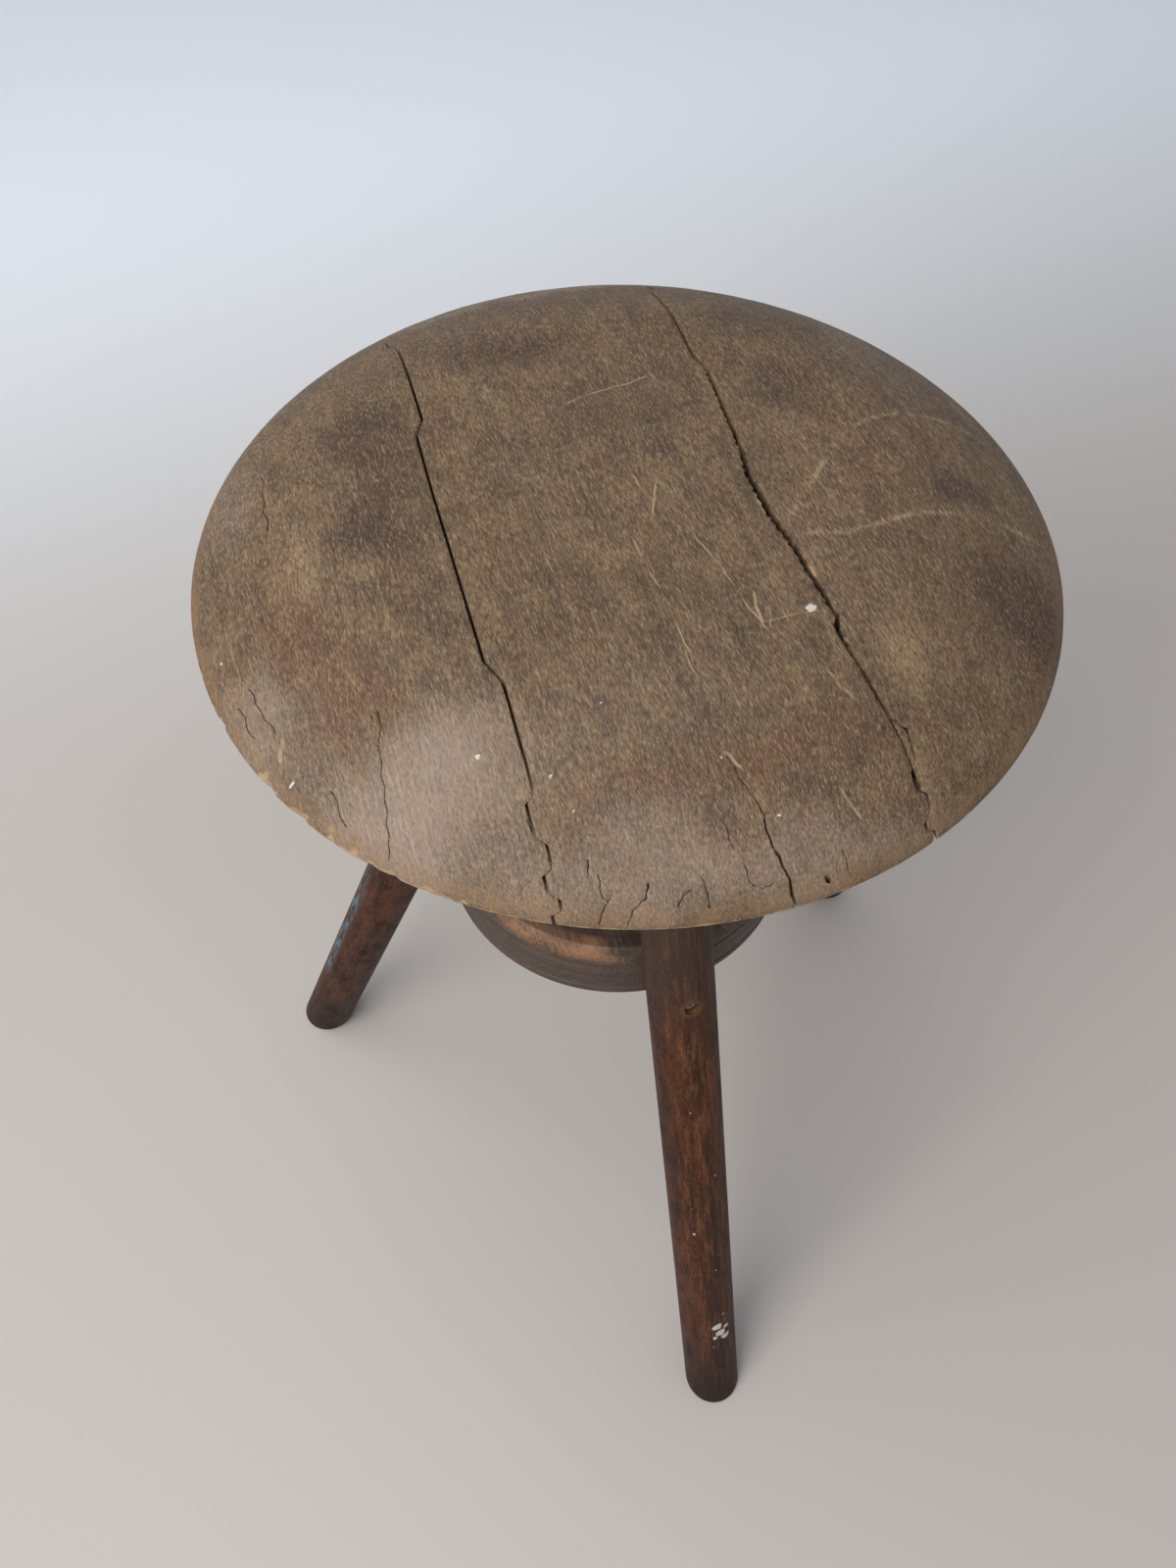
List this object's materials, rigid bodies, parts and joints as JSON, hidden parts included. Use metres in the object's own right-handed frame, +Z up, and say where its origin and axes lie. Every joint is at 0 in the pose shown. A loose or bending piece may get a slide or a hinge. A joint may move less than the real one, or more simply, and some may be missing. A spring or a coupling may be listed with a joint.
{
  "type": "three leg screw stool",
  "caption": "Wooden stool with a round domed seat of comb-jointed boards on a steel screw, turned hub, splayed round legs and a turned brace disc.",
  "frame": {"origin": "middle of the bounding box at floor level; the screw's axis stands 15.8 mm from it towards -X and 35.6 mm towards +Y", "axes": "+Z up, the front leg points along -Y, the seat's boards run along Y"},
  "size_m": [0.4626, 0.4212, 0.5968],
  "materials": {
    "seat_wood": "weathered, worn and dry",
    "dark_wood": "old dark stain, worn on the edges",
    "leg_wood": "old red-brown stain, worn",
    "pale_wood": "bare end grain",
    "cast_iron": "old black paint over a sand-cast skin",
    "spindle_steel": "oiled and darkened",
    "screw_steel": "dull with rust in the slots"
  },
  "bodies": {
    "base": {"hub": "dark_wood", "nut": "cast_iron", "nut_screws": "screw_steel", "leg_front": "leg_wood", "leg_left": "leg_wood", "leg_right": "leg_wood", "leg_wedges": "pale_wood", "brace_disc": "dark_wood", "brace_pegs": "pale_wood"},
    "washer": {"stop_washer": "screw_steel"},
    "seat": {"seat_board_left": "seat_wood", "seat_board_middle": "seat_wood", "seat_board_right": "seat_wood", "spider": "cast_iron", "spider_screws": "screw_steel", "spindle": "spindle_steel", "spindle_pin": "screw_steel", "stop_pin": "screw_steel"}
  },
  "joints": [
    {"name": "seat_rise", "type": "slide", "parent": "base", "child": "washer", "axis": [0, 0, 1], "range_m": [-0.023, 0.096]},
    {"name": "seat_turn", "type": "hinge", "parent": "washer", "child": "seat", "pos_m": [-0.01584, 0.03558, 0.4], "axis": [0, 0, 1], "range_deg": [-828, 3456]}
  ],
  "couplings": [
    {"joint": "seat_rise", "follows": "seat_turn", "m_per_rad": 0.0015915}
  ]
}
